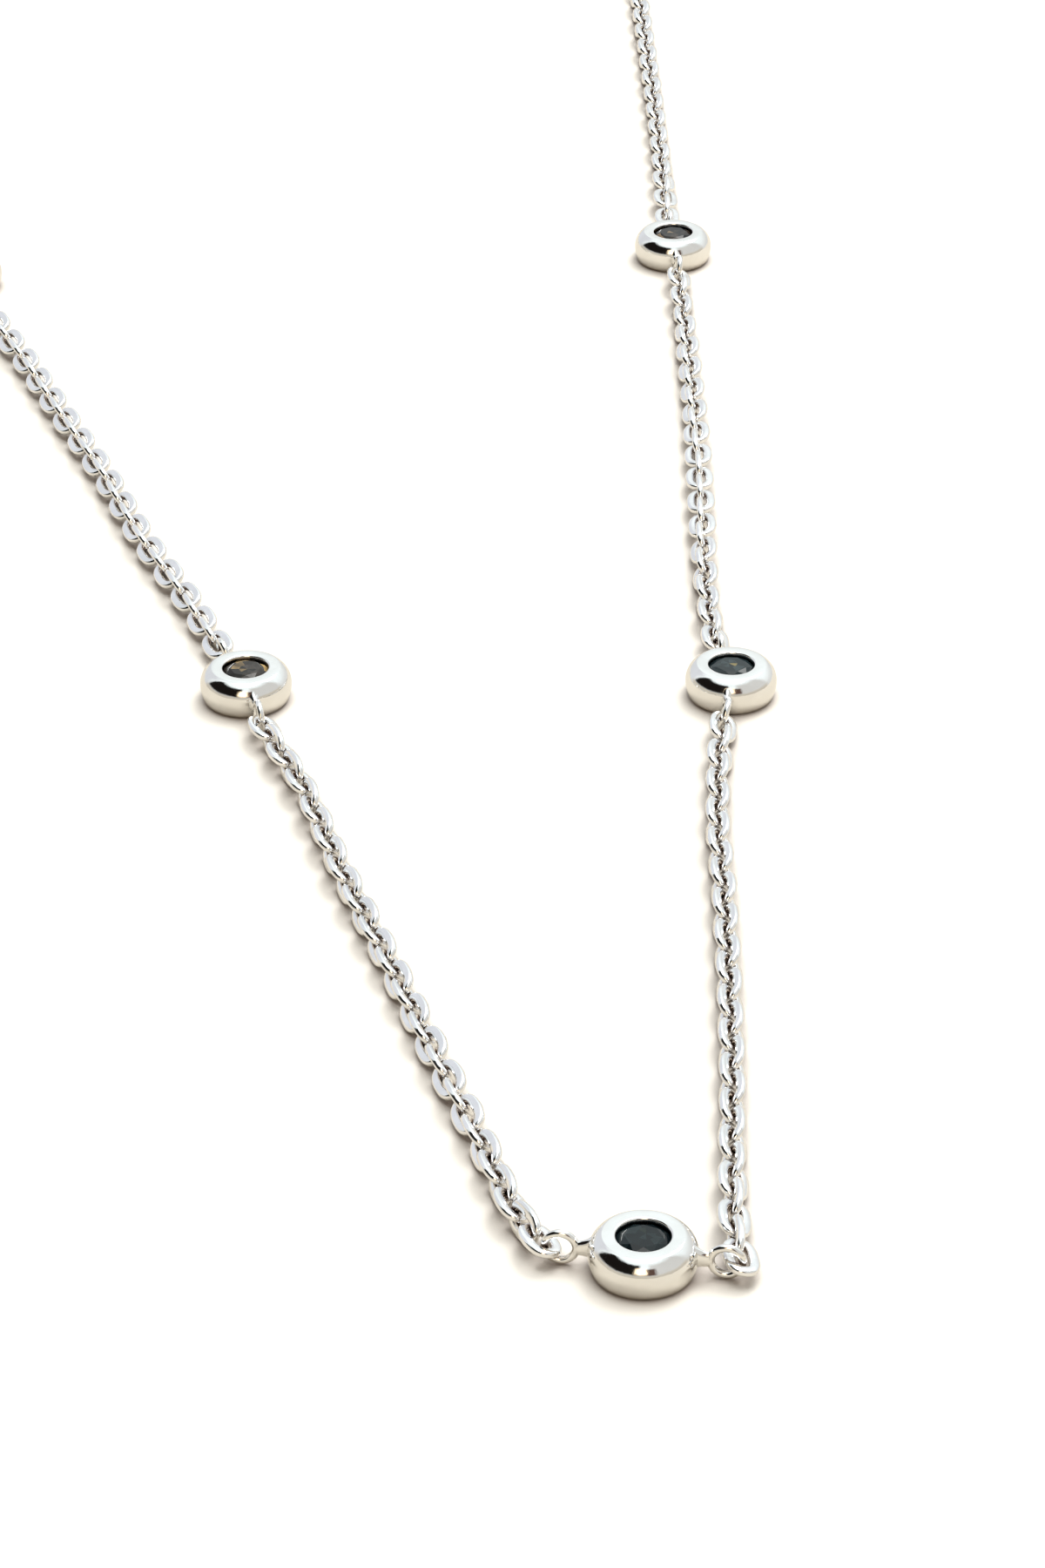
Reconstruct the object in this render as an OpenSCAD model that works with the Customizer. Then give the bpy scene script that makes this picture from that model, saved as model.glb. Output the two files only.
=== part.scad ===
// Station necklace: five bezel-set stones on a cable chain, lying as a closed loop on a flat surface.
// Millimetres. The origin is the centre of the centre setting's underside, +Z is up,
// and the loop runs away from the centre setting along +Y, to the clasp.

/* [Settings] */
// Outside diameter of a bezel setting
bezel_d = 4; // [3:0.1:6]
// Height of a bezel setting
bezel_h = 1.6; // [1.5:0.05:2.4]
// Diameter of the round opening over the stone
opening_d = 2; // [1.9:0.05:2.1]
// Radius of the rounded shoulder round the top
shoulder_r = 0.7; // [0.5:0.05:0.75]
// Radius of the rounded edge round the underside
foot_r = 0.3; // [0.2:0.05:0.5]
// Radius of the rounded lip at the opening
lip_r = 0.08; // [0.06:0.02:0.2]
// Thickness of the closed underside below the stone's point
floor_t = 0.18; // [0.15:0.01:0.2]

/* [End rings] */
// Outside diameter of the ring soldered to each side of a setting
loop_d = 1.45; // [1.3:0.05:1.5]
// Wire diameter of that ring
loop_wire = 0.3; // [0.25:0.01:0.35]
// Distance from the setting's middle to the ring's middle
loop_reach = 3; // [2.9:0.05:3.1]
// Thickness of the soldered neck that joins the ring to the setting
neck_d = 0.3; // [0.26:0.01:0.36]
// Height of that neck
neck_h = 0.6; // [0.4:0.05:0.8]

/* [Stones] */
// Girdle diameter of a stone
stone_d = 2.3; // [2.2:0.01:2.32]
// Height of the girdle's lower edge above the surface
girdle_z = 1.16; // [1.1:0.01:1.18]
// Thickness of the girdle
girdle_t = 0.06; // [0.03:0.01:0.08]
// Width of the table across its corners, as a share of the girdle
table_share = 0.59; // [0.5:0.01:0.65]
// Slope of the crown's main facets in degrees
crown_slope = 34; // [28:1:36]
// Slope of the pavilion's main facets in degrees
pavilion_slope = 35.8; // [33:0.1:36]

/* [Chain] */
// Length of one link over all
link_l = 2.18; // [2.14:0.01:2.24]
// Width of one link over all
link_w = 1.34; // [1.2:0.01:1.5]
// Width of the flattened wire, measured in the link's plane
wire_w = 0.36; // [0.34:0.01:0.38]
// Thickness of the flattened wire, measured across the link's plane
wire_t = 0.3; // [0.26:0.01:0.32]
// Bevel on the wire's four long edges
wire_bevel = 0.08; // [0.04:0.01:0.1]
// Number of links between two settings, odd so that both end links lie flat
link_count = 33; // [31:2:35]
// Diameter of the plain run of chain behind the last settings
run_d = 1.3; // [1.2:0.05:1.4]

/* [Clasp] */
// Outside diameter of the clasp's ring
clasp_d = 5.6; // [5:0.1:6]
// Wire diameter of the clasp's ring
clasp_wire = 1; // [0.8:0.05:1.1]
// Outside diameter of the small loop soldered to the clasp
clasp_loop_d = 2; // [1.9:0.05:2.2]
// Wire diameter of that small loop
clasp_loop_wire = 0.45; // [0.4:0.05:0.5]
// Height of that small loop's middle above the surface
clasp_loop_z = 0.62; // [0.5:0.02:0.7]
// Outside diameter of the end ring that the clasp closes on
end_ring_d = 3; // [2.9:0.05:3.2]
// Wire diameter of the end ring
end_ring_wire = 0.5; // [0.4:0.05:0.5]

/* [Hidden] */
$fn = 48;

METAL = [0.80, 0.80, 0.79];
STONE = [0.07, 0.12, 0.13];

// Where each setting lies: x, y, then in degrees the heading of its rings, the turn of its stone, how far
// each ring is bent out of line, and how far the ring ahead and the ring behind lean
CENTRE = [0, 0, -9, 8, 0, 0, 0];
RIGHT_1 = [4.9, 42.4, 90.5, 20, 8, 10, 15];
RIGHT_2 = [3.8, 89.7, 93, 5, 0, 10, 10];
LEFT_1 = [-16.3, 42.3, 107.5, 31, 4, -12, 0];
LEFT_2 = [-33.2, 86.5, 110, 12, 0, 0, -12];

// How each chain lies between its two settings: points x, y that it passes
ROUTE_RIGHT_1 = [[3.35, 1], [3.35, 3], [3.5, 7.5], [3.7, 12], [3.85, 19], [3.9, 25], [3.85, 30], [4.05, 35]];
ROUTE_RIGHT_2 = [[4.25, 48], [4.15, 51], [4.15, 55], [4.25, 64], [4.25, 70], [4.15, 78]];
ROUTE_LEFT_1 = [[-4.6, 2.8], [-5.9, 7.6], [-7.5, 12.8], [-9.4, 19.4], [-11.6, 26.6], [-13.4, 33.4]];
ROUTE_LEFT_2 = [[-19.3, 50.3], [-21.8, 56.4], [-24.1, 63.2], [-26.7, 69.9], [-29, 76]];

// How the links are rolled about the chain: share of the way, degrees from lying flat
ROLL_RIGHT_1 = [[0, 12], [0.08, 26], [0.18, 42], [0.25, 44], [0.86, 44], [1, 30]];
ROLL_RIGHT_2 = [[0, 22], [0.06, 34], [0.23, 66], [0.32, 82], [0.42, 90], [0.6, 60], [0.8, 56], [1, 22]];
ROLL_LEFT_1 = [[0, 12], [0.08, 26], [0.16, 42], [0.23, 54], [0.32, 52], [0.42, 43], [0.82, 28], [1, 14]];
ROLL_LEFT_2 = [[0, -24], [0.06, -30], [0.94, -30], [1, -24]];

// The plain runs behind the last settings, each from its setting to the clasp
ROUTE_RIGHT_BACK = [
    [3.65, 93.75], [3.55, 101], [3.4, 109], [3.2, 117], [2.95, 126], [2.75, 135], [2.6, 144],
    [2.5, 153], [2.5, 162], [2.4, 170], [1.6, 177.5], [-0.8, 184.1], [-4.6, 190], [-9.7, 195.1],
    [-15.8, 198.9], [-22.3, 201.2], [-28.9, 201.8]
];
ROUTE_LEFT_BACK = [
    [-34.6, 90.3], [-37.3, 97.9], [-40, 105.5], [-42.7, 113.1], [-45.4, 120.7], [-48.1, 128.3],
    [-50.8, 135.9], [-53.5, 143.5], [-56.2, 151.1], [-58.8, 159], [-60.5, 166.6], [-60.5, 174.4],
    [-58.8, 181.8], [-55.4, 188.4], [-50.5, 194], [-44.5, 198.2], [-37.6, 200.7]
];

// Where the clasp lies: x, y, heading towards the end ring
CLASP = [-33, 201.3, 7];

bezel_r = bezel_d / 2;
opening_r = opening_d / 2;
stone_r = stone_d / 2;
seat_gap = 0.05;
seat_r = stone_r + seat_gap;
point_r = 0.1;
girdle_top = girdle_z + girdle_t;
table_r = stone_r * table_share;
table_z = girdle_top + (stone_r - table_r) * tan(crown_slope);
culet_z = girdle_z - stone_r * tan(pavilion_slope);

loop_ring_r = (loop_d - loop_wire) / 2;
loop_z = loop_d / 2 + 0.025;
// Distance from a setting's middle to the wire that the chain's end link holds
pin_reach = loop_reach + loop_ring_r;
neck_root = bezel_r - 0.25;

link_bend_r = (link_w - wire_w) / 2;
link_straight = link_l - link_w;
// Free play between an end link and the wire it holds
link_play = 0.17;
// Distance from that wire to the end link's middle
link_lead = link_l / 2 - wire_w - loop_wire / 2 - link_play;
rest_lift = 0.01;

clasp_ring_r = (clasp_d - clasp_wire) / 2;
clasp_loop_r = (clasp_loop_d - clasp_loop_wire) / 2;
end_ring_r = (end_ring_d - end_ring_wire) / 2;
// The end ring passes under the clasp's wire and lifts it on that side
clasp_lift = end_ring_wire + 0.12;
clasp_tilt = asin(clasp_lift / (2 * clasp_ring_r));
clasp_loop_x = clasp_ring_r + clasp_wire / 2 + clasp_loop_r - 0.22;
end_ring_x = clasp_ring_r + 0.05;

function heading_dir(angle) = [cos(angle), sin(angle)];

// The wire at one end of a setting: side is 1 ahead of it and -1 behind it
function pin(station, side) =
    [station[0], station[1]] + side * pin_reach * heading_dir(station[2] + side * station[4]);

function step_lengths(points) =
    [for (i = [1 : len(points) - 1]) norm(points[i] - points[i - 1])];

function sum_to(values, count, i = 0) =
    i >= count ? 0 : values[i] + sum_to(values, count, i + 1);

function distances(points) =
    let (steps = step_lengths(points))
    [for (i = [0 : len(points) - 1]) sum_to(steps, i)];

// The point that lies a given way along a route
function along(points, marks, way) =
    [for (axis = [0, 1]) lookup(way, [for (i = [0 : len(points) - 1]) [marks[i], points[i][axis]]])];

// Half the height of a link whose plane is rolled by an angle
function half_height(angle) =
    let (s = abs(sin(angle)), c = abs(cos(angle)))
    max((link_w / 2 - wire_bevel) * s + wire_t / 2 * c, link_w / 2 * s + (wire_t / 2 - wire_bevel) * c);

// Height of the chain's middle where its links are rolled by an angle
function chain_z(angle) = rest_lift + max(half_height(angle), half_height(angle + 90));

module ring(ring_r, wire_d) {
    rotate_extrude() translate([ring_r, 0]) circle(d = wire_d);
}

// Half of a setting's outline, as turned, with no hollow yet
module bezel_outline() {
    polygon([
        [0, 0], [bezel_r - foot_r, 0], [bezel_r, foot_r], [bezel_r, bezel_h - shoulder_r],
        [bezel_r - shoulder_r, bezel_h], [0, bezel_h]
    ]);
    translate([bezel_r - shoulder_r, bezel_h - shoulder_r]) circle(shoulder_r);
    translate([bezel_r - foot_r, foot_r]) circle(foot_r);
}

// Half of the hollow: the opening with its lip, the seat, and the cone below the stone
module hollow_outline() {
    lip_under = girdle_top + (stone_r - opening_r) * 1.25;
    difference() {
        polygon([
            [0, floor_t], [point_r, floor_t], [seat_r, girdle_z - 0.04], [seat_r, girdle_top + 0.06],
            [opening_r, lip_under], [opening_r, bezel_h - lip_r], [opening_r + lip_r, bezel_h],
            [opening_r + lip_r, bezel_h + 1], [0, bezel_h + 1]
        ]);
        translate([opening_r + lip_r, bezel_h - lip_r]) circle(lip_r);
    }
}

// A ring standing beside the setting, leaning by an angle, and its neck with rounded top and bottom
module soldered_loop(lean) {
    translate([loop_reach, 0, loop_z]) rotate([90 + lean, 0, 0]) ring(loop_ring_r, loop_wire);
    translate([neck_root, 0, loop_z]) rotate([0, 90, 0])
        linear_extrude(loop_reach - loop_ring_r - neck_root) {
            square([neck_h - neck_d, neck_d], center = true);
            for (end = [-1, 1]) translate([end * (neck_h - neck_d) / 2, 0]) circle(d = neck_d);
        }
}

module setting(station) {
    color(METAL)
    translate([station[0], station[1], 0]) rotate([0, 0, station[2]]) {
        difference() {
            rotate_extrude() bezel_outline();
            rotate_extrude() hollow_outline();
        }
        rotate([0, 0, station[4]]) soldered_loop(station[5]);
        rotate([0, 0, 180 - station[4]]) soldered_loop(-station[6]);
    }
}

// Round brilliant cut: table, star, kite and girdle facets above, main and girdle facets below
module stone(station) {
    corners = 8;
    rim = 2 * corners;
    step = 360 / corners;
    crown_mid_r = stone_r * 0.81;
    crown_mid_z = girdle_top + (stone_r - crown_mid_r * cos(step / 2)) * tan(crown_slope);
    pav_mid_r = stone_r * 0.42;
    pav_mid_z = girdle_z - (stone_r - pav_mid_r * cos(step / 2)) * tan(pavilion_slope);
    function circle_points(r, z, count, turn) =
        [for (i = [0 : count - 1]) [r * cos(i * 360 / count + turn), r * sin(i * 360 / count + turn), z]];
    points = concat(
        circle_points(table_r, table_z, corners, 0),
        circle_points(crown_mid_r, crown_mid_z, corners, step / 2),
        circle_points(stone_r, girdle_top, rim, 0),
        circle_points(stone_r, girdle_z, rim, 0),
        circle_points(pav_mid_r, pav_mid_z, corners, step / 2),
        [[0, 0, culet_z]]
    );
    mid = corners;
    top = 2 * corners;
    low = 4 * corners;
    pav = 6 * corners;
    culet = 7 * corners;
    faces = concat(
        [[for (i = [corners - 1 : -1 : 0]) i]],
        [for (i = [0 : corners - 1]) let (n = (i + 1) % corners) [i, n, mid + i]],
        [for (i = [0 : corners - 1]) [i, mid + i, top + 2 * i]],
        [for (i = [0 : corners - 1]) let (b = (i + corners - 1) % corners) [i, top + 2 * i, mid + b]],
        [for (i = [0 : corners - 1]) [mid + i, top + 2 * i + 1, top + 2 * i]],
        [for (i = [0 : corners - 1]) let (n = (2 * i + 2) % rim) [mid + i, top + n, top + 2 * i + 1]],
        [for (k = [0 : rim - 1]) let (n = (k + 1) % rim) [top + k, top + n, low + n, low + k]],
        [for (i = [0 : corners - 1]) [pav + i, low + 2 * i, low + 2 * i + 1]],
        [for (i = [0 : corners - 1]) let (n = (2 * i + 2) % rim) [pav + i, low + 2 * i + 1, low + n]],
        [for (i = [0 : corners - 1]) [culet, low + 2 * i, pav + i]],
        [for (i = [0 : corners - 1]) let (b = (i + corners - 1) % corners) [culet, pav + b, low + 2 * i]]
    );
    color(STONE)
    translate([station[0], station[1], 0]) rotate([0, 0, station[2] + station[3]])
        polyhedron(points, faces, convexity = 2);
}

// Cross-section of the flattened wire, across the link's plane in y
module wire_section() {
    w = wire_w / 2;
    t = wire_t / 2;
    polygon([
        [w, wire_bevel - t], [w, t - wire_bevel], [w - wire_bevel, t], [wire_bevel - w, t],
        [-w, t - wire_bevel], [-w, wire_bevel - t], [wire_bevel - w, -t], [w - wire_bevel, -t]
    ]);
}

// One link along x, lying flat
module link() {
    for (side = [-1, 1]) {
        translate([side * link_straight / 2, 0, 0]) rotate([0, 0, -90 * side])
            rotate_extrude(angle = 180) translate([link_bend_r, 0]) wire_section();
        translate([-link_straight / 2, side * link_bend_r, 0]) rotate([90, 0, 90])
            linear_extrude(link_straight) wire_section();
    }
}

// Interlocking links from the ring on one side of a setting to the ring behind the next setting
module chain(from, side, route, to, roll) {
    points = concat([pin(from, side)], route, [pin(to, -1)]);
    marks = distances(points);
    pitch = (marks[len(marks) - 1] - 2 * link_lead) / (link_count - 1);
    color(METAL)
    for (i = [0 : link_count - 1]) {
        way = link_lead + i * pitch;
        middle = along(points, marks, way);
        ahead = along(points, marks, way + pitch / 2) - along(points, marks, way - pitch / 2);
        lean = lookup(i / (link_count - 1), roll);
        translate([middle[0], middle[1], chain_z(lean)])
            rotate([lean + 90 * (i % 2), 0, atan2(ahead[1], ahead[0])]) link();
    }
}

// A point a share of the way along one smooth stretch, from four points in a row
function smooth(p0, p1, p2, p3, t) =
    0.5 * (2 * p1 + (p2 - p0) * t + (2 * p0 - 5 * p1 + 4 * p2 - p3) * t * t
        + (3 * p1 - p0 - 3 * p2 + p3) * t * t * t);

function smooth_route(points, parts) =
    let (last = len(points) - 1)
    concat(
        [for (i = [0 : last - 1], k = [0 : parts - 1])
            smooth(points[max(i - 1, 0)], points[i], points[i + 1], points[min(i + 2, last)], k / parts)],
        [points[last]]
    );

// A plain run of chain: a round tube of eight sides swept along its route
module run(route) {
    sides = 8;
    middle = smooth_route(route, 2);
    last = len(middle) - 1;
    function facing(i) = middle[min(i + 1, last)] - middle[max(i - 1, 0)];
    function section(i) =
        let (turn = atan2(facing(i)[1], facing(i)[0]) - 90)
        [for (k = [0 : sides - 1])
            let (a = (k + 0.5) * 360 / sides, out = run_d / 2 * cos(a))
            [middle[i][0] + out * cos(turn), middle[i][1] + out * sin(turn), run_d / 2 * (1 + sin(a))]];
    points = [for (i = [0 : last]) each section(i)];
    faces = concat(
        [[for (k = [0 : sides - 1]) k]],
        [for (i = [0 : last - 1], k = [0 : sides - 1])
            let (m = (k + 1) % sides)
            [i * sides + k, (i + 1) * sides + k, (i + 1) * sides + m, i * sides + m]],
        [[for (k = [sides - 1 : -1 : 0]) last * sides + k]]
    );
    color(METAL)
    polyhedron(points, faces, convexity = 8);
}

module at_clasp() {
    translate([CLASP[0], CLASP[1], 0]) rotate([0, 0, CLASP[2]]) children();
}

// The clasp as one closed ring with its soldered loop, tilted where the end ring lifts it
module clasp() {
    color(METAL)
    at_clasp() {
        translate([0, 0, (clasp_wire + clasp_lift) / 2]) rotate([0, -clasp_tilt, 0])
            ring(clasp_ring_r, clasp_wire);
        translate([-clasp_loop_x, 0, clasp_loop_z]) ring(clasp_loop_r, clasp_loop_wire);
    }
}

module end_ring() {
    color(METAL)
    at_clasp()
        translate([end_ring_x, 0, end_ring_d / 2]) rotate([90, 0, 0]) ring(end_ring_r, end_ring_wire);
}

setting(CENTRE);  // setting_centre
setting(RIGHT_1);  // setting_right_1
setting(RIGHT_2);  // setting_right_2
setting(LEFT_1);  // setting_left_1
setting(LEFT_2);  // setting_left_2
stone(CENTRE);  // stone_centre
stone(RIGHT_1);  // stone_right_1
stone(RIGHT_2);  // stone_right_2
stone(LEFT_1);  // stone_left_1
stone(LEFT_2);  // stone_left_2
chain(CENTRE, 1, ROUTE_RIGHT_1, RIGHT_1, ROLL_RIGHT_1);  // chain_right_1
chain(RIGHT_1, 1, ROUTE_RIGHT_2, RIGHT_2, ROLL_RIGHT_2);  // chain_right_2
run(ROUTE_RIGHT_BACK);  // chain_right_back
chain(CENTRE, -1, ROUTE_LEFT_1, LEFT_1, ROLL_LEFT_1);  // chain_left_1
chain(LEFT_1, 1, ROUTE_LEFT_2, LEFT_2, ROLL_LEFT_2);  // chain_left_2
run(ROUTE_LEFT_BACK);  // chain_left_back
clasp();
end_ring();
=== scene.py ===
import math

import bpy
import numpy as np
from mathutils import Euler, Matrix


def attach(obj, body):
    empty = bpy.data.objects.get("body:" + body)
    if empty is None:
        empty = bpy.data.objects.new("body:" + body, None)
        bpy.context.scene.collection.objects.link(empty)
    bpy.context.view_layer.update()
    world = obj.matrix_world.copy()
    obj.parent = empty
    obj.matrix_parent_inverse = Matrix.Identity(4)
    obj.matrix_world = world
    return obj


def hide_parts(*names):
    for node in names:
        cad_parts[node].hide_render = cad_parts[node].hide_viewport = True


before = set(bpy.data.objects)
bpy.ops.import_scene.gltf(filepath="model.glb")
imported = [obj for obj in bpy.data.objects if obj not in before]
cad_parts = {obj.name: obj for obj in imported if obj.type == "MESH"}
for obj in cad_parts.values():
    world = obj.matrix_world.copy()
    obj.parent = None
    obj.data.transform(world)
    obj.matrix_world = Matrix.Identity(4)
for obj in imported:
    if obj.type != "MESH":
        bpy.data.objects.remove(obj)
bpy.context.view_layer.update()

# Lengths in this script are in millimetres up to add_mesh, which turns them into metres
MM = 0.001
RNG = np.random.default_rng(7)

# Settings: a turned cup whose shoulder and skirt meet at the belly, its lip drawn in over the stone
BEZEL_R = 2.0
BEZEL_H = 1.6
OPENING_R = 1.0
BELLY_Z = 0.8
SHOULDER_R = 0.9
SKIRT_R = 1.6
LIP_R = 0.09
LIP_SLOPE = 1.25
SEAT_GAP = 0.05
FLOOR_T = 0.18
FOOT_FLAT_R = 0.8
PIT_R = 0.1

# How the setting's edges are rounded: (r, z) from the edge where the foot or the rim would be sharp
FOOT_ROUND = [(-0.1, 0), (-0.03, 0.006), (0.02, 0.04)]
RIM_ROUND = [(0.02, -0.012), (-0.03, 0)]

# Rings soldered to the settings. The neck between them starts sunk in the setting and bites into the ring,
# and its solder rises, widens and droops towards the setting.
LOOP_WIRE = 0.3
LOOP_R = (1.45 - LOOP_WIRE) / 2
LOOP_REACH = 3.0
LOOP_Z = 0.75
NECK_T = 0.3
NECK_H = 0.6
NECK_TOP = 1.05
NECK_SINK = 0.3
NECK_BITE = 0.06
SOLDER_RISE = 0.42
SOLDER_WIDEN = 2.2
SOLDER_DROOP = 0.25
PIN_REACH = LOOP_REACH + LOOP_R

# Stones: their shares are of the stone's radius
STONE_R = 1.15
GIRDLE_Z = 1.16
GIRDLE_T = 0.06
TABLE_SHARE = 0.59
CROWN_SHARE = 0.81
PAVILION_SHARE = 0.42
MAINS = 8
EDGE_EASE = 0.006
CROWN_SLOPE = math.radians(34)
PAVILION_SLOPE = math.radians(35.8)

# What shows inside each stone: patches in rings round a middle that lies x and y off the stone's own middle,
# deep in the stone's own colour, lighter as painted reflections of the facets, and a few bright as painted
# glints
FACET_RING = 0.36
FACETS_ROUND = 8
STONE_ROUGHNESS = 0.03
STONE_IOR = 1.5
STONE_GLOSS = 0.28
LOOKS = {
    "centre": {
        "middle": (0.1, 0.15), "seed": 3, "deep": (0.004, 0.008, 0.010), "light": (0.016, 0.028, 0.031),
        "light_share": 0.6, "painted_glint": (0.02, 0.03, 0.02), "painted_glint_share": 0.05,
    },
    "right_1": {
        "middle": (-0.1, 0.1), "seed": 1, "deep": (0.010, 0.018, 0.021), "light": (0.036, 0.056, 0.062),
        "light_share": 0.7, "painted_glint": (0.26, 0.21, 0.08), "painted_glint_share": 0.07,
    },
    "right_2": {
        "middle": (0.05, -0.1), "seed": 12, "deep": (0.004, 0.005, 0.006), "light": (0.045, 0.034, 0.026),
        "light_share": 0.5, "painted_glint": (0.20, 0.14, 0.08), "painted_glint_share": 0.06,
    },
    "left_1": {
        "middle": (0.1, -0.1), "seed": 2, "deep": (0.006, 0.005, 0.004), "light": (0.055, 0.046, 0.040),
        "light_share": 0.45, "painted_glint": (0.60, 0.42, 0.19), "painted_glint_share": 0.14,
    },
    "left_2": {
        "middle": (-0.05, 0.1), "seed": 6, "deep": (0.007, 0.012, 0.013), "light": (0.045, 0.055, 0.05),
        "light_share": 0.5, "painted_glint": (0.34, 0.25, 0.10), "painted_glint_share": 0.08,
    },
}

# Links: ovals of flattened wire, whose section bends out and up by powers (1 is round) and swells at the
# seam. The play is how far, in degrees, a link's roll and yaw stray either way.
LINK_L = 2.13
LINK_W = 1.34
WIRE_W = 0.41
WIRE_T = 0.30
WIRE_EASE = 0.06
WIRE_BEND_OUT = 0.72
WIRE_BEND_UP = 0.66
SEAM_SWELL = 1.06
LINK_OVAL = 2.6
LINK_LEAD = 0.41
REST_LIFT = 0.01
ROLL_PLAY = 1.5
YAW_PLAY = 1

# How many links each chain has
LINK_COUNTS = {
    "right_1": 33,
    "right_2": 33,
    "left_1": 33,
    "left_2": 33,
    "right_back": 103,
    "left_back": 102,
}

# Clasp, its loop and the end ring that it closes on
CLASP_WIRE = 1.0
CLASP_R = 2.3
CLASP_LOOP_WIRE = 0.45
CLASP_LOOP_R = (2.0 - CLASP_LOOP_WIRE) / 2
CLASP_LOOP_Z = 0.62
END_RING_WIRE = 0.5
END_RING_R = (3.0 - END_RING_WIRE) / 2
CLASP_GAP = 0.12
CLASP_LIFT = END_RING_WIRE + CLASP_GAP
CLASP_TILT = math.asin(CLASP_LIFT / (2 * CLASP_R))
CLASP_LOOP_SINK = 0.22
CLASP_LOOP_X = CLASP_R + CLASP_WIRE / 2 + CLASP_LOOP_R - CLASP_LOOP_SINK
END_RING_X = CLASP_R + 0.05
END_RING_INSET = 0.31

# Where each setting lies: x, y, then in degrees the heading of its rings, the turn of its stone, how far
# each ring is bent out of line, and how far the ring ahead and the ring behind lean
STATIONS = {
    "centre": (0, 0, -9, 8, 0, 0, 0),
    "right_1": (4.9, 42.4, 90.5, 20, 8, 10, 15),
    "right_2": (3.8, 89.7, 93, 5, 0, 10, 10),
    "left_1": (-16.3, 42.3, 107.5, 31, 4, -12, 0),
    "left_2": (-33.2, 86.5, 110, 12, 0, 0, -12),
}

# Where the clasp lies: x, y, heading towards the end ring in degrees
CLASP = (-33, 201.3, 7)

# How each chain lies: points x, y that it passes between the two wires that hold it. The two runs behind
# follow a smooth curve through theirs.
ROUTES = {
    "right_1": [(3.35, 1), (3.35, 3), (3.5, 7.5), (3.7, 12), (3.85, 19), (3.9, 25), (3.85, 30), (4.05, 35)],
    "right_2": [(4.25, 48), (4.15, 51), (4.15, 55), (4.25, 64), (4.25, 70), (4.15, 78)],
    "left_1": [(-4.6, 2.8), (-5.9, 7.6), (-7.5, 12.8), (-9.4, 19.4), (-11.6, 26.6), (-13.4, 33.4)],
    "left_2": [(-19.3, 50.3), (-21.8, 56.4), (-24.1, 63.2), (-26.7, 69.9), (-29, 76)],
    "right_back": [
        (3.55, 101), (3.4, 109), (3.2, 117), (2.95, 126), (2.75, 135), (2.6, 144), (2.5, 153),
        (2.5, 162), (2.4, 170), (1.6, 177.5), (-0.8, 184.1), (-4.6, 190), (-9.7, 195.1),
        (-15.8, 198.9), (-22.3, 201.2),
    ],
    "left_back": [
        (-37.3, 97.9), (-40, 105.5), (-42.7, 113.1), (-45.4, 120.7), (-48.1, 128.3), (-50.8, 135.9),
        (-53.5, 143.5), (-56.2, 151.1), (-58.8, 159), (-60.5, 166.6), (-60.5, 174.4), (-58.8, 181.8),
        (-55.4, 188.4), (-50.5, 194), (-44.5, 198.2),
    ],
}

# How the links are rolled about the chain: share of the way, degrees from lying flat
ROLLS = {
    "right_1": [(0, 12), (0.08, 26), (0.18, 42), (0.25, 44), (0.86, 44), (1, 30)],
    "right_2": [(0, 22), (0.06, 34), (0.23, 66), (0.32, 82), (0.42, 90), (0.6, 60), (0.8, 56), (1, 22)],
    "left_1": [(0, 12), (0.08, 26), (0.16, 42), (0.23, 54), (0.32, 52), (0.42, 43), (0.82, 28), (1, 14)],
    "left_2": [(0, -24), (0.06, -30), (0.94, -30), (1, -24)],
    "right_back": [(0, 0), (0.06, 38), (0.3, 44), (0.45, 10), (0.7, 30), (0.94, 34), (1, 0)],
    "left_back": [(0, 0), (0.06, 10), (0.25, 30), (0.5, 44), (0.7, 12), (0.94, 25), (1, 0)],
}

# The camera: place from the centre setting, tilt down and roll in degrees, focal length for a sensor whose
# long side is 36 mm
CAMERA_AT = (-4.24, -133.82, 97.99)
CAMERA_DOWN = 30.17
CAMERA_ROLL = -0.26
CAMERA_LENS = 105.7
CAMERA_SENSOR = 36
CAMERA_CLIP = 5

# The two metals: their colour between dull and bright, roughness, strength of the ripple, and how far the
# painted shade in the recesses reaches and how open a place is when that shade ends
METALS = {
    "white_metal": {
        "dull": (0.83, 0.83, 0.82), "bright": (0.88, 0.885, 0.88), "polish": 0.07, "ripple": 0.3,
        "reach": 0.8, "recess_shade_end": 0.62,
    },
    "white_metal_links": {
        "dull": (0.84, 0.85, 0.86), "bright": (0.92, 0.925, 0.935), "polish": 0.11, "ripple": 0.5,
        "reach": 0.5, "recess_shade_end": 0.78,
    },
}
# Painted shade: the brown that the metal is darkened towards in its recesses, where shade falls
PAINTED_RECESS_SHADE = (0.24, 0.165, 0.125)
RIPPLE_DEPTH = 0.02

# The paper under the necklace: its colours, the painted shadow that darkens it near the necklace and how far
# that reaches, and the darker colour that the metal mirrors, a painted shade that stands in for the shaded
# paper
PAPER_COLOURS = ((0.93, 0.89, 0.83), (0.95, 0.91, 0.85))
# Painted shadow: the colour that the paper is darkened towards near the necklace
PAPER_SHADE = (0.47, 0.415, 0.38)
# Painted shade: the paper as the metal mirrors it, darker than the camera sees it, standing in for paper in
# shade
PAPER_SHADE_IN_METAL = (0.64, 0.58, 0.49)
PAPER_REACH = 1.5
PAPER_HALF = 1500
PAPER_Z = -0.01

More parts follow.
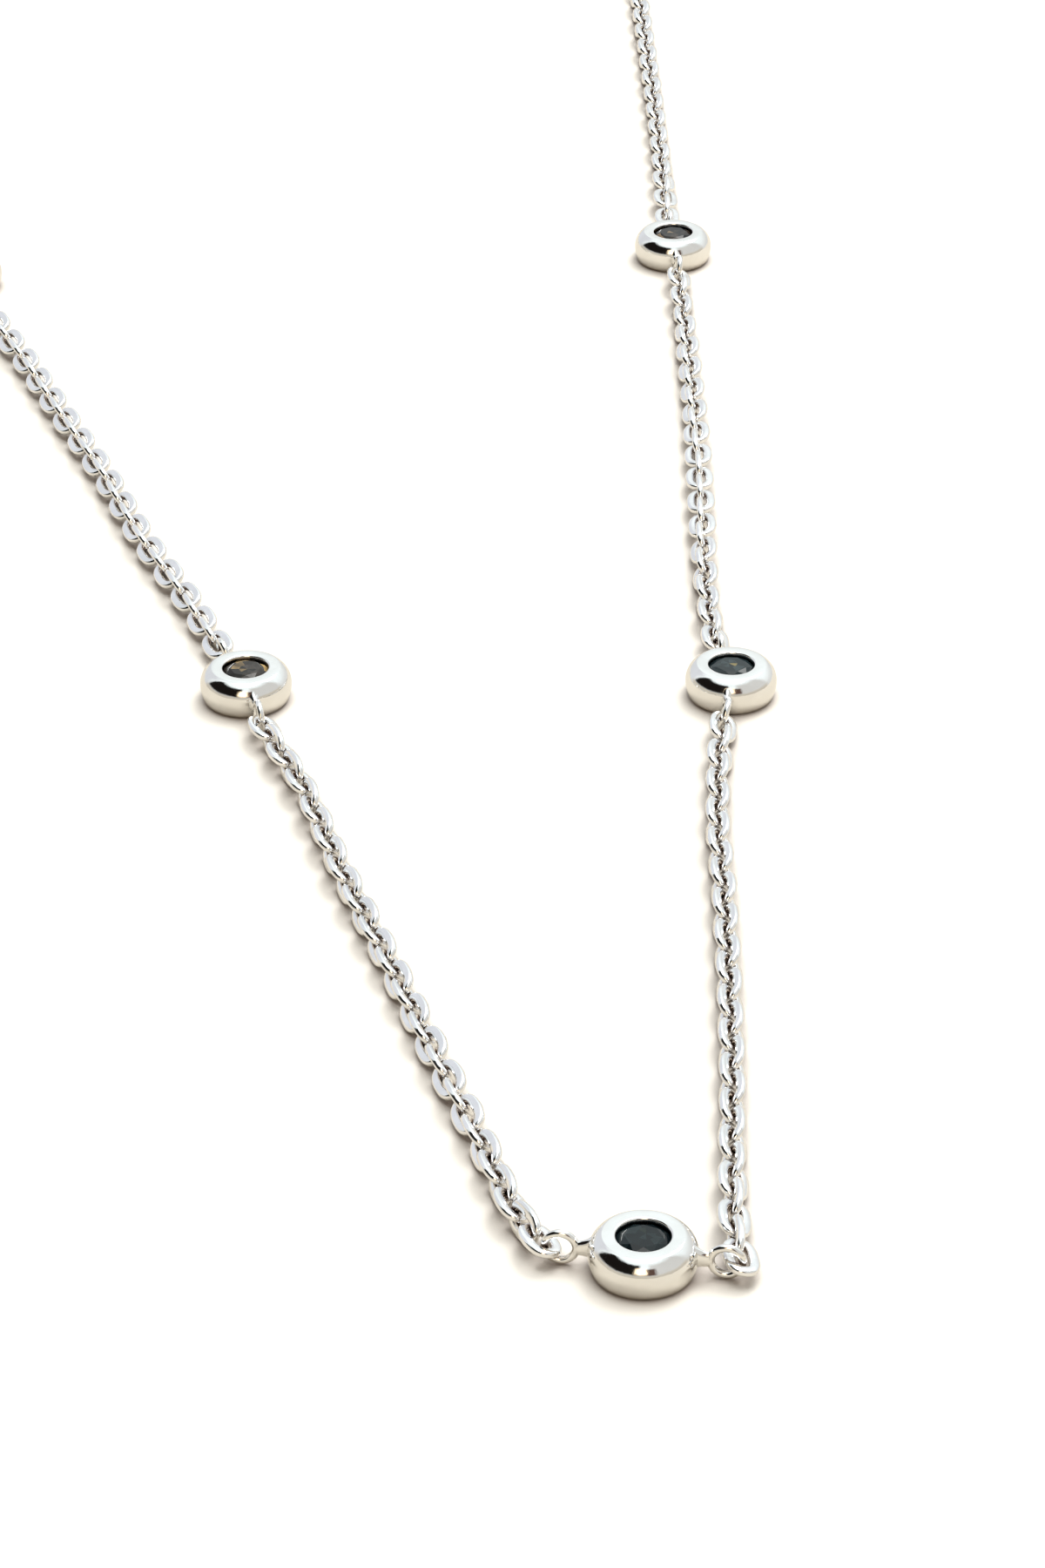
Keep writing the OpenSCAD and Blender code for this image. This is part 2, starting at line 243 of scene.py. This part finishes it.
# The studio round the necklace: a light room that grows brighter upwards, a bright ceiling panel, and
# patches in it, each with its colour, side and height in degrees and the softness of both.
# Side is 0 towards the camera and grows to the right.
ROOM_COLOURS = ((0.80, 0.80, 0.78), (1.10, 1.17, 1.17))
ROOM_HEIGHTS = (0, 40)
PANEL_COLOUR = (4.2, 4.15, 4.05)
PANEL_HEIGHTS = (68, 76)
STUDIO_PATCHES = [
    {"colour": (0.74, 0.73, 0.70), "side": (15, 100), "height": (8, 60), "soft": (8, 8)},
    {"colour": (0.80, 0.82, 0.86), "side": (-166, -116), "height": (3, 48), "soft": (8, 8)},
    {"colour": (0.66, 0.60, 0.50), "side": (-115, 100), "height": (-90, 11), "soft": (8, 5)},
    {"colour": (0.010, 0.008, 0.007), "side": (-110, -10), "height": (12, 58), "soft": (4, 5)},
    {"colour": (0.12, 0.07, 0.055), "side": (-10, 26), "height": (12, 42), "soft": (5, 4)},
    {"colour": (3.0, 2.4, 1.65), "side": (-17, 5), "height": (17, 43), "soft": (7, 7)},
]

# The lamp, its place in metres and its turns in degrees
KEY_SIZE = 0.26
KEY_ENERGY = 1.15
KEY_COLOUR = (1.0, 0.98, 0.95)
KEY_AT = (0.15, 0.26, 0.40)
KEY_TURN = (-27, 21, 0)


def add_mesh(name, points, faces, material, smooth=True):
    """A new object whose points are given in millimetres."""
    mesh = bpy.data.meshes.new(name)
    mesh.from_pydata((np.asarray(points) * MM).tolist(), [], [tuple(int(i) for i in f) for f in faces])
    mesh.validate()
    mesh.polygons.foreach_set("use_smooth", [smooth] * len(mesh.polygons))
    mesh.materials.append(material)
    obj = bpy.data.objects.new(name, mesh)
    bpy.context.scene.collection.objects.link(obj)
    return obj


def join_parts(parts):
    """One list of points and one of faces from several (points, faces) pairs."""
    points, faces, base = [], [], 0
    for part_points, part_faces in parts:
        points.append(np.asarray(part_points))
        faces.extend(tuple(i + base for i in face) for face in part_faces)
        base += len(part_points)
    return np.vstack(points), faces


def turn_z(points, degrees):
    """The points turned about the vertical through the origin."""
    a = math.radians(degrees)
    turn = np.array([[math.cos(a), -math.sin(a), 0], [math.sin(a), math.cos(a), 0], [0, 0, 1]])
    return np.asarray(points) @ turn.T


def grid_faces(rows, columns, close_rows=False):
    """Quads of a grid whose columns close into a ring, and whose rows may too."""
    faces = []
    for i in range(rows if close_rows else rows - 1):
        n = (i + 1) % rows
        for k in range(columns):
            m = (k + 1) % columns
            faces.append((i * columns + k, i * columns + m, n * columns + m, n * columns + k))
    return faces


def lathe(outline, steps):
    """A turned shape from (r, z) points; a point on the axis becomes one pole."""
    points, rings, faces = [], [], []
    for r, z in outline:
        if r < 1e-6:
            rings.append([len(points)] * steps)
            points.append((0, 0, z))
            continue
        rings.append([len(points) + k for k in range(steps)])
        for k in range(steps):
            a = 2 * math.pi * k / steps
            points.append((r * math.cos(a), r * math.sin(a), z))
    for low, high in zip(rings, rings[1:]):
        for k in range(steps):
            n = (k + 1) % steps
            corners = dict.fromkeys((low[k], low[n], high[n], high[k]))
            faces.append(tuple(corners))
    return points, faces


def arc(centre, radius, start, end, count):
    """Points (r, z) on an arc between two angles in degrees, ends included."""
    angles = np.radians(np.linspace(start, end, count))
    return [(centre[0] + radius * math.cos(a), centre[1] + radius * math.sin(a)) for a in angles]


def torus(ring_r, wire_r, around=72, across=20):
    """A ring in the xy plane."""
    points = []
    for i in range(around):
        a = 2 * math.pi * i / around
        for k in range(across):
            b = 2 * math.pi * k / across
            r = ring_r + wire_r * math.cos(b)
            points.append((r * math.cos(a), r * math.sin(a), wire_r * math.sin(b)))
    return points, grid_faces(around, across, close_rows=True)


def turn_x(points, degrees):
    """The points turned about the x axis."""
    a = math.radians(degrees)
    turn = np.array([[1, 0, 0], [0, math.cos(a), -math.sin(a)], [0, math.sin(a), math.cos(a)]])
    return np.asarray(points) @ turn.T


def bezel_outline():
    """The setting's turned outline, from the middle of its underside round to the floor under the stone."""
    top_edge = math.degrees(math.asin((BEZEL_H - BELLY_Z) / SHOULDER_R))
    low_edge = math.degrees(math.asin(BELLY_Z / SKIRT_R))
    shoulder = arc((BEZEL_R - SHOULDER_R, BELLY_Z), SHOULDER_R, 0, top_edge - 5, 16)
    skirt = arc((BEZEL_R - SKIRT_R, BELLY_Z), SKIRT_R, 4 - low_edge, 0, 12)
    rim_r = BEZEL_R - SHOULDER_R + SHOULDER_R * math.cos(math.radians(top_edge))
    rim_end = OPENING_R + LIP_R
    foot_r = BEZEL_R - SKIRT_R + SKIRT_R * math.cos(math.radians(low_edge))
    seat_r = STONE_R + SEAT_GAP
    girdle_top = GIRDLE_Z + GIRDLE_T
    lip_under = girdle_top + (STONE_R - OPENING_R) * LIP_SLOPE
    outline = [(0, 0), (FOOT_FLAT_R, 0)]
    outline += [(foot_r + r, z) for r, z in FOOT_ROUND]
    outline += skirt + shoulder[1:]
    outline += [(rim_r + r, BEZEL_H + z) for r, z in RIM_ROUND]
    outline += [((rim_r + rim_end) / 2, BEZEL_H)]
    outline += arc((rim_end, BEZEL_H - LIP_R), LIP_R, 90, 180, 7)
    outline += [(OPENING_R, lip_under), (seat_r, girdle_top + 0.06), (seat_r, GIRDLE_Z - 0.04)]
    outline += [(PIT_R, FLOOR_T), (0, FLOOR_T)]
    return outline


def solder_neck():
    """The neck along x between setting and ring, with the solder drawn up the setting's shoulder."""
    start, end = BEZEL_R - NECK_SINK, LOOP_REACH - LOOP_R + NECK_BITE
    points, count, across = [], 14, 24
    for i in range(count):
        t = i / (count - 1)
        wide = NECK_T / 2 * (1 + SOLDER_WIDEN * (1 - t) ** 3)
        top = NECK_TOP + SOLDER_RISE * (1 - t) ** 2.2
        low = NECK_TOP - NECK_H * (1 + SOLDER_DROOP * (1 - t) ** 3)
        for k in range(across):
            b = 2 * math.pi * k / across
            height = (top + low) / 2 + (top - low) / 2 * math.sin(b)
            points.append((start + (end - start) * t, wide * math.cos(b), height))
    return points, grid_faces(count, across)


def make_setting(name, material):
    """A bezel cup with a soldered ring ahead and one behind."""
    x, y, heading, _, bend, lean_ahead, lean_behind = STATIONS[name]
    loop_points, loop_faces = torus(LOOP_R, LOOP_WIRE / 2, 56, 18)
    neck_points, neck_faces = solder_neck()
    parts = [lathe(bezel_outline(), 112)]
    for turn, lean in ((bend, lean_ahead), (180 - bend, -lean_behind)):
        loop = turn_x(loop_points, 90 + lean) + (LOOP_REACH, 0, LOOP_Z)
        parts.append((turn_z(loop, turn), loop_faces))
        parts.append((turn_z(neck_points, turn), neck_faces))
    points, faces = join_parts(parts)
    obj = add_mesh("bezel_" + name, turn_z(points, heading) + (x, y, 0), faces, material)
    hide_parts("setting_" + name)
    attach(obj, "root")


def make_stone(name, material):
    """A round brilliant cut, its facet edges very slightly eased."""
    x, y, heading, turn, *_ = STATIONS[name]
    n, step = MAINS, math.pi / MAINS
    girdle_top = GIRDLE_Z + GIRDLE_T
    table_r = STONE_R * TABLE_SHARE
    table_z = girdle_top + (STONE_R - table_r) * math.tan(CROWN_SLOPE)
    crown_r, pav_r = STONE_R * CROWN_SHARE, STONE_R * PAVILION_SHARE
    crown_z = girdle_top + (STONE_R - crown_r * math.cos(step)) * math.tan(CROWN_SLOPE)
    pav_z = GIRDLE_Z - (STONE_R - pav_r * math.cos(step)) * math.tan(PAVILION_SLOPE)
    culet_z = GIRDLE_Z - STONE_R * math.tan(PAVILION_SLOPE)

    def circle(r, z, count, offset):
        """Points evenly round the stone's axis."""
        angles = [2 * math.pi * i / count + offset for i in range(count)]
        return [(r * math.cos(a), r * math.sin(a), z) for a in angles]

    points = circle(table_r, table_z, n, 0) + circle(crown_r, crown_z, n, step)
    points += circle(STONE_R, girdle_top, 2 * n, 0) + circle(STONE_R, GIRDLE_Z, 2 * n, 0)
    points += circle(pav_r, pav_z, n, step) + [(0, 0, culet_z)]
    mid, top, low, pav, culet = n, 2 * n, 4 * n, 6 * n, 7 * n
    faces = [tuple(range(n))]
    for i in range(n):
        after, before, far = (i + 1) % n, (i - 1) % n, (2 * i + 2) % (2 * n)
        faces.append((i, mid + i, after))
        faces.append((i, mid + before, top + 2 * i, mid + i))
        faces.append((mid + i, top + 2 * i, top + 2 * i + 1))
        faces.append((mid + i, top + 2 * i + 1, top + far))
        faces.append((pav + i, low + 2 * i + 1, low + 2 * i))
        faces.append((pav + i, low + far, low + 2 * i + 1))
        faces.append((culet, pav + i, low + 2 * i, pav + before))
    for k in range(2 * n):
        m = (k + 1) % (2 * n)
        faces.append((top + k, low + k, low + m, top + m))
    obj = add_mesh("gem_" + name, turn_z(points, heading + turn), faces, material, smooth=False)
    obj.location = (x * MM, y * MM, 0)
    bevel = obj.modifiers.new("eased_edges", "BEVEL")
    bevel.width = EDGE_EASE * MM
    bevel.segments = 1
    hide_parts("stone_" + name)
    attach(obj, "root")


def link_mesh(around=40, across=14):
    """One link along x, lying flat: an oval of flattened wire with a faint seam in one leg."""
    long_r, short_r = (LINK_L - WIRE_W) / 2, (LINK_W - WIRE_W) / 2
    power = 2 / LINK_OVAL
    angles = 2 * np.pi * (np.arange(around) + 0.5) / around
    path = np.column_stack([long_r * np.sign(np.cos(angles)) * np.abs(np.cos(angles)) ** power,
                            short_r * np.sign(np.sin(angles)) * np.abs(np.sin(angles)) ** power])
    ahead = np.roll(path, -1, axis=0) - np.roll(path, 1, axis=0)
    outward = np.column_stack([ahead[:, 1], -ahead[:, 0]]) / np.hypot(*ahead.T)[:, None]
    points = []
    for i in range(around):
        swell = SEAM_SWELL if i == around // 4 else 1.0
        for k in range(across):
            b = 2 * math.pi * (k + 0.5) / across
            out = WIRE_W / 2 * math.copysign(abs(math.cos(b)) ** WIRE_BEND_OUT, math.cos(b)) * swell
            up = WIRE_T / 2 * math.copysign(abs(math.sin(b)) ** WIRE_BEND_UP, math.sin(b)) * swell
            x, y = path[i] + outward[i] * out
            points.append((x, y, up))
    return np.array(points), grid_faces(around, across, close_rows=True)


def half_height(degrees):
    """Half the height of a link whose plane is rolled by an angle."""
    s, c = abs(math.sin(math.radians(degrees))), abs(math.cos(math.radians(degrees)))
    broad = LINK_W / 2 * s + (WIRE_T / 2 - WIRE_EASE) * c
    thick = (LINK_W / 2 - WIRE_EASE) * s + WIRE_T / 2 * c
    return max(broad, thick)


def chain_z(lean):
    """How high the middle of a chain lies, so that its taller links rest on the floor."""
    return REST_LIFT + max(half_height(lean), half_height(lean + 90))


def pin(name, side):
    """The outer wire of a setting's ring: side 1 is the ring ahead, -1 the one behind."""
    x, y, heading, _, bend, *_ = STATIONS[name]
    a = math.radians(heading + side * bend)
    return (x + side * PIN_REACH * math.cos(a), y + side * PIN_REACH * math.sin(a))


def clasp_point(local_x):
    """A point on the line through the clasp and the end ring."""
    a = math.radians(CLASP[2])
    return (CLASP[0] + local_x * math.cos(a), CLASP[1] + local_x * math.sin(a))


def smooth_route(points, parts=6):
    """A smooth curve through the points."""
    p = np.array([points[0], *points, points[-1]], dtype=float)
    out = []
    for i in range(1, len(p) - 2):
        for t in np.arange(parts) / parts:
            out.append(0.5 * (2 * p[i] + (p[i + 1] - p[i - 1]) * t
                              + (2 * p[i - 1] - 5 * p[i] + 4 * p[i + 1] - p[i + 2]) * t ** 2
                              + (3 * p[i] - p[i - 1] - 3 * p[i + 1] + p[i + 2]) * t ** 3))
    out.append(p[-1])
    return np.array(out)


def make_chain(name, start, end, material):
    """Interlocking links from one wire to the next, each turned a quarter from the one before."""
    route = np.array([start, *ROUTES[name], end])
    if name.endswith("back"):
        route = smooth_route(route)
    marks = np.r_[0, np.cumsum(np.hypot(*np.diff(route, axis=0).T))]
    count = LINK_COUNTS[name]
    pitch = (marks[-1] - 2 * LINK_LEAD) / (count - 1)
    shares, leans = zip(*ROLLS[name])
    base, base_faces = link_mesh()

    def at(way):
        """The point of the route that far along it."""
        return np.array([np.interp(way, marks, route[:, 0]), np.interp(way, marks, route[:, 1])])

    parts = []
    for i in range(count):
        way = LINK_LEAD + i * pitch
        middle = at(way)
        ahead = at(way + pitch / 2) - at(way - pitch / 2)
        lean = np.interp(i / (count - 1), shares, leans)
        roll = math.radians(lean + 90 * (i % 2) + RNG.uniform(-ROLL_PLAY, ROLL_PLAY))
        yaw = math.atan2(ahead[1], ahead[0]) + math.radians(RNG.uniform(-YAW_PLAY, YAW_PLAY))
        turn = np.array(Euler((roll, 0, yaw), "XYZ").to_matrix())
        parts.append((base @ turn.T + (middle[0], middle[1], chain_z(lean)), base_faces))
    points, faces = join_parts(parts)
    obj = add_mesh("links_" + name, points, faces, material)
    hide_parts("chain_" + name)
    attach(obj, "root")


def make_clasp(material):
    """The clasp's plain ring with its loop, and the end ring that stands in it."""
    x, y, heading = CLASP
    ring_points, ring_faces = torus(CLASP_R, CLASP_WIRE / 2, 96, 24)
    tilt = np.array(Euler((0, -CLASP_TILT, 0)).to_matrix())
    ring = np.asarray(ring_points) @ tilt.T + (0, 0, (CLASP_WIRE + CLASP_LIFT) / 2)
    loop_points, loop_faces = torus(CLASP_LOOP_R, CLASP_LOOP_WIRE / 2, 56, 18)
    loop = np.asarray(loop_points) + (-CLASP_LOOP_X, 0, CLASP_LOOP_Z)
    points, faces = join_parts([(ring, ring_faces), (loop, loop_faces)])
    obj = add_mesh("clasp_ring", turn_z(points, heading) + (x, y, 0), faces, material)
    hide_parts("clasp")
    end_points, end_faces = torus(END_RING_R, END_RING_WIRE / 2, 72, 20)
    end = turn_x(end_points, 90) + (END_RING_X, 0, END_RING_R + END_RING_WIRE / 2)
    other = add_mesh("closing_ring", turn_z(end, heading) + (x, y, 0), end_faces, material)
    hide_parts("end_ring")
    for piece in (obj, other):
        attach(piece, "root")


class Nodes:
    """Short ways to add and join shader nodes."""

    def __init__(self, tree):
        self.tree = tree
        tree.nodes.clear()

    def add(self, kind, **values):
        """A new node with some of its properties set."""
        node = self.tree.nodes.new(kind)
        for key, value in values.items():
            setattr(node, key, value)
        return node

    def put(self, socket, value):
        """Links another node's output to a socket, or sets its value."""
        if isinstance(value, bpy.types.NodeSocket):
            self.tree.links.new(value, socket)
        else:
            socket.default_value = value

    def math(self, operation, a, b=0.0):
        """The result of one sum."""
        node = self.add("ShaderNodeMath", operation=operation)
        self.put(node.inputs[0], a)
        self.put(node.inputs[1], b)
        return node.outputs[0]

    def ramp(self, value, low, high, start=0.0, end=1.0):
        """Goes smoothly from start to end as value goes from low to high."""
        node = self.add("ShaderNodeMapRange", interpolation_type="SMOOTHSTEP")
        for socket, item in zip(node.inputs, (value, low, high, start, end)):
            self.put(socket, item)
        return node.outputs[0]

    def band(self, value, low, high, soft):
        """1 between low and high, with soft edges."""
        rise = self.ramp(value, low - soft, low + soft)
        fall = self.ramp(value, high - soft, high + soft, 1.0, 0.0)
        return self.math("MULTIPLY", rise, fall)

    def mix(self, share, a, b):
        """A colour between a and b, either of them an output or (red, green, blue)."""
        node = self.add("ShaderNodeMix", data_type="RGBA")
        self.put(node.inputs["Factor"], share)
        for socket, colour in ((node.inputs["A"], a), (node.inputs["B"], b)):
            self.put(socket, (*colour, 1) if isinstance(colour, tuple) else colour)
        return node.outputs["Result"]

    def noise(self, scale, detail=4.0, roughness=0.5):
        """Noise over the object, with scale in features per millimetre."""
        place = self.add("ShaderNodeTexCoord").outputs["Object"]
        node = self.add("ShaderNodeTexNoise")
        self.put(node.inputs["Vector"], place)
        self.put(node.inputs["Scale"], scale / MM)
        self.put(node.inputs["Detail"], detail)
        self.put(node.inputs["Roughness"], roughness)
        return node.outputs["Fac"]


def new_material(name):
    """A material with one principled shader, and the ways to add nodes to it."""
    material = bpy.data.materials.new(name)
    material.use_nodes = True
    nodes = Nodes(material.node_tree)
    surface = nodes.add("ShaderNodeBsdfPrincipled")
    out = nodes.add("ShaderNodeOutputMaterial")
    nodes.put(out.inputs["Surface"], surface.outputs["BSDF"])
    return material, nodes, surface


def metal_material(name):
    """White metal with fine polishing marks and a soft ripple, and painted shade, browner and duller, in the
    recesses.
    """
    material, nodes, surface = new_material(name)
    metal = METALS[name]
    cloud = nodes.noise(0.9, 3.0)
    tone = nodes.mix(nodes.ramp(cloud, 0.35, 0.7), metal["dull"], metal["bright"])
    # Painted shade: the base colour darkens towards brown where ambient occlusion finds a recess
    cover = nodes.add("ShaderNodeAmbientOcclusion", samples=6)
    nodes.put(cover.inputs["Distance"], metal["reach"] * MM)
    tone = nodes.mix(nodes.ramp(cover.outputs["AO"], 0.05, metal["recess_shade_end"]), PAINTED_RECESS_SHADE, tone)
    nodes.put(surface.inputs["Base Color"], tone)
    nodes.put(surface.inputs["Metallic"], 1.0)
    fine = nodes.noise(9.0, 5.0, 0.6)
    smooth, rough = metal["polish"] * 0.7, metal["polish"] * 1.5
    nodes.put(surface.inputs["Roughness"], nodes.ramp(fine, 0.3, 0.7, smooth, rough))
    bump = nodes.add("ShaderNodeBump")
    nodes.put(bump.inputs["Strength"], metal["ripple"])
    nodes.put(bump.inputs["Distance"], RIPPLE_DEPTH * MM)
    nodes.put(bump.inputs["Height"], nodes.noise(2.6, 3.0, 0.55))
    nodes.put(surface.inputs["Normal"], bump.outputs["Normal"])
    return material


def stone_material(station):
    """Dark stone in which each facet behind shows as a patch of its own: dull, or lighter and flashing as
    painted reflections and glints.
    """
    material, nodes, surface = new_material("dark_stone_" + station)
    look = LOOKS[station]
    split = nodes.add("ShaderNodeSeparateXYZ")
    nodes.put(split.inputs[0], nodes.add("ShaderNodeTexCoord").outputs["Object"])
    x = nodes.math("SUBTRACT", split.outputs[0], look["middle"][0] * MM)
    y = nodes.math("SUBTRACT", split.outputs[1], look["middle"][1] * MM)
    out = nodes.math("SQRT", nodes.math("ADD", nodes.math("MULTIPLY", x, x), nodes.math("MULTIPLY", y, y)))
    ring = nodes.math("FLOOR", nodes.math("DIVIDE", out, FACET_RING * MM))
    turns = nodes.math("MULTIPLY", nodes.math("ARCTAN2", y, x), FACETS_ROUND / (2 * math.pi))
    sector = nodes.math("FLOOR", nodes.math("ADD", turns, nodes.math("MULTIPLY", ring, 0.5)))
    cell = nodes.add("ShaderNodeCombineXYZ")
    for socket, value in zip(cell.inputs, (sector, ring, look["seed"])):
        nodes.put(socket, value)
    pick = nodes.add("ShaderNodeTexWhiteNoise", noise_dimensions="3D")
    nodes.put(pick.inputs["Vector"], cell.outputs[0])
    chance = nodes.add("ShaderNodeSeparateColor")
    nodes.put(chance.inputs[0], pick.outputs["Color"])
    cloud = nodes.ramp(nodes.noise(2.4, 3.0), 0.35, 0.65, 0.55, 1.0)
    # Painted reflections: some patches turn lighter, as facets inside the stone would reflect light
    share = nodes.math("MULTIPLY", nodes.ramp(chance.outputs[0], 1 - look["light_share"], 1), cloud)
    tone = nodes.mix(share, look["deep"], look["light"])
    # Painted glints: a few patches turn a bright, mostly warm colour
    spark = nodes.math("MULTIPLY", nodes.ramp(chance.outputs[1], 1 - look["painted_glint_share"], 1), cloud)
    tone = nodes.mix(spark, tone, look["painted_glint"])
    nodes.put(surface.inputs["Base Color"], tone)
    nodes.put(surface.inputs["Roughness"], STONE_ROUGHNESS)
    nodes.put(surface.inputs["IOR"], STONE_IOR)
    nodes.put(surface.inputs["Specular IOR Level"], STONE_GLOSS)
    return material


def floor_material():
    """Warm white paper, a little uneven, with a painted shadow near the necklace and a duller painted shade
    where the metal mirrors it.
    """
    material, nodes, surface = new_material("paper")
    tone = nodes.mix(nodes.noise(0.05, 2.0), *PAPER_COLOURS)
    # Painted shadow: ambient occlusion darkens the paper near the necklace
    cover = nodes.add("ShaderNodeAmbientOcclusion", samples=8)
    nodes.put(cover.inputs["Distance"], PAPER_REACH * MM)
    tone = nodes.mix(nodes.ramp(cover.outputs["AO"], 0.22, 0.92), PAPER_SHADE, tone)
    # Painted shade: glossy rays see the paper in a fixed darker colour
    mirrored = nodes.add("ShaderNodeLightPath").outputs["Is Glossy Ray"]
    tone = nodes.mix(mirrored, tone, PAPER_SHADE_IN_METAL)
    nodes.put(surface.inputs["Base Color"], tone)
    nodes.put(surface.inputs["Roughness"], 0.8)
    return material


def add_floor():
    """The paper as one large sheet."""
    signs = ((-1, -1), (1, -1), (1, 1), (-1, 1))
    corners = [(a * PAPER_HALF, b * PAPER_HALF, PAPER_Z) for a, b in signs]
    floor = add_mesh("floor", corners, [(0, 1, 2, 3)], floor_material(), smooth=False)


def add_studio():
    """The room round the necklace, which the metal mirrors and the camera sees as plain white."""
    world = bpy.data.worlds.new("studio")
    bpy.context.scene.world = world
    world.use_nodes = True
    nodes = Nodes(world.node_tree)
    place = nodes.add("ShaderNodeTexCoord").outputs["Generated"]
    split = nodes.add("ShaderNodeSeparateXYZ")
    nodes.put(split.inputs[0], place)
    x, y, z = split.outputs
    degrees = 180 / math.pi
    height = nodes.math("MULTIPLY", nodes.math("ARCSINE", z), degrees)
    side = nodes.math("MULTIPLY", nodes.math("ARCTAN2", x, nodes.math("MULTIPLY", y, -1.0)), degrees)
    colour = nodes.mix(nodes.ramp(height, *ROOM_HEIGHTS), *ROOM_COLOURS)
    for patch in STUDIO_PATCHES:
        soft_side, soft_height = patch["soft"]
        mask = nodes.math("MULTIPLY", nodes.band(side, *patch["side"], soft_side),
                          nodes.band(height, *patch["height"], soft_height))
        colour = nodes.mix(mask, colour, patch["colour"])
    colour = nodes.mix(nodes.ramp(height, *PANEL_HEIGHTS), colour, PANEL_COLOUR)
    seen = nodes.add("ShaderNodeLightPath").outputs["Is Camera Ray"]
    colour = nodes.mix(seen, colour, (1, 1, 1))
    background = nodes.add("ShaderNodeBackground")
    nodes.put(background.inputs["Color"], colour)
    nodes.put(background.inputs["Strength"], 1.0)
    out = nodes.add("ShaderNodeOutputWorld")
    nodes.put(out.inputs["Surface"], background.outputs["Background"])


def add_key_light():
    """A soft lamp high up behind the necklace."""
    data = bpy.data.lights.new("key", "AREA")
    data.shape = "DISK"
    data.size = KEY_SIZE
    data.energy = KEY_ENERGY
    data.color = KEY_COLOUR
    key = bpy.data.objects.new("key", data)
    key.location = KEY_AT
    key.rotation_euler = [math.radians(angle) for angle in KEY_TURN]
    bpy.context.scene.collection.objects.link(key)


def add_camera():
    """The camera at the photo's place and angle."""
    data = bpy.data.cameras.new("camera")
    data.lens = CAMERA_LENS
    data.sensor_width = CAMERA_SENSOR
    data.clip_start = CAMERA_CLIP * MM
    camera = bpy.data.objects.new("camera", data)
    camera.location = [v * MM for v in CAMERA_AT]
    turn = Euler((math.radians(90 - CAMERA_DOWN), 0, 0)).to_matrix()
    roll = Euler((0, 0, math.radians(CAMERA_ROLL))).to_matrix()
    camera.rotation_euler = (turn @ roll).to_euler()
    bpy.context.scene.collection.objects.link(camera)
    bpy.context.scene.camera = camera


bpy.context.scene.view_settings.view_transform = "Standard"
add_camera()
add_studio()
add_key_light()
add_floor()
settings_metal = metal_material("white_metal")
chain_metal = metal_material("white_metal_links")
for station in STATIONS:
    make_setting(station, settings_metal)
    make_stone(station, stone_material(station))
make_chain("right_1", pin("centre", 1), pin("right_1", -1), chain_metal)
make_chain("right_2", pin("right_1", 1), pin("right_2", -1), chain_metal)
make_chain("left_1", pin("centre", -1), pin("left_1", -1), chain_metal)
make_chain("left_2", pin("left_1", 1), pin("left_2", -1), chain_metal)
right_end = clasp_point(END_RING_X + END_RING_R - END_RING_INSET)
left_end = clasp_point(-CLASP_LOOP_X - CLASP_LOOP_R)
make_chain("right_back", pin("right_2", 1), right_end, chain_metal)
make_chain("left_back", pin("left_2", 1), left_end, chain_metal)
make_clasp(settings_metal)
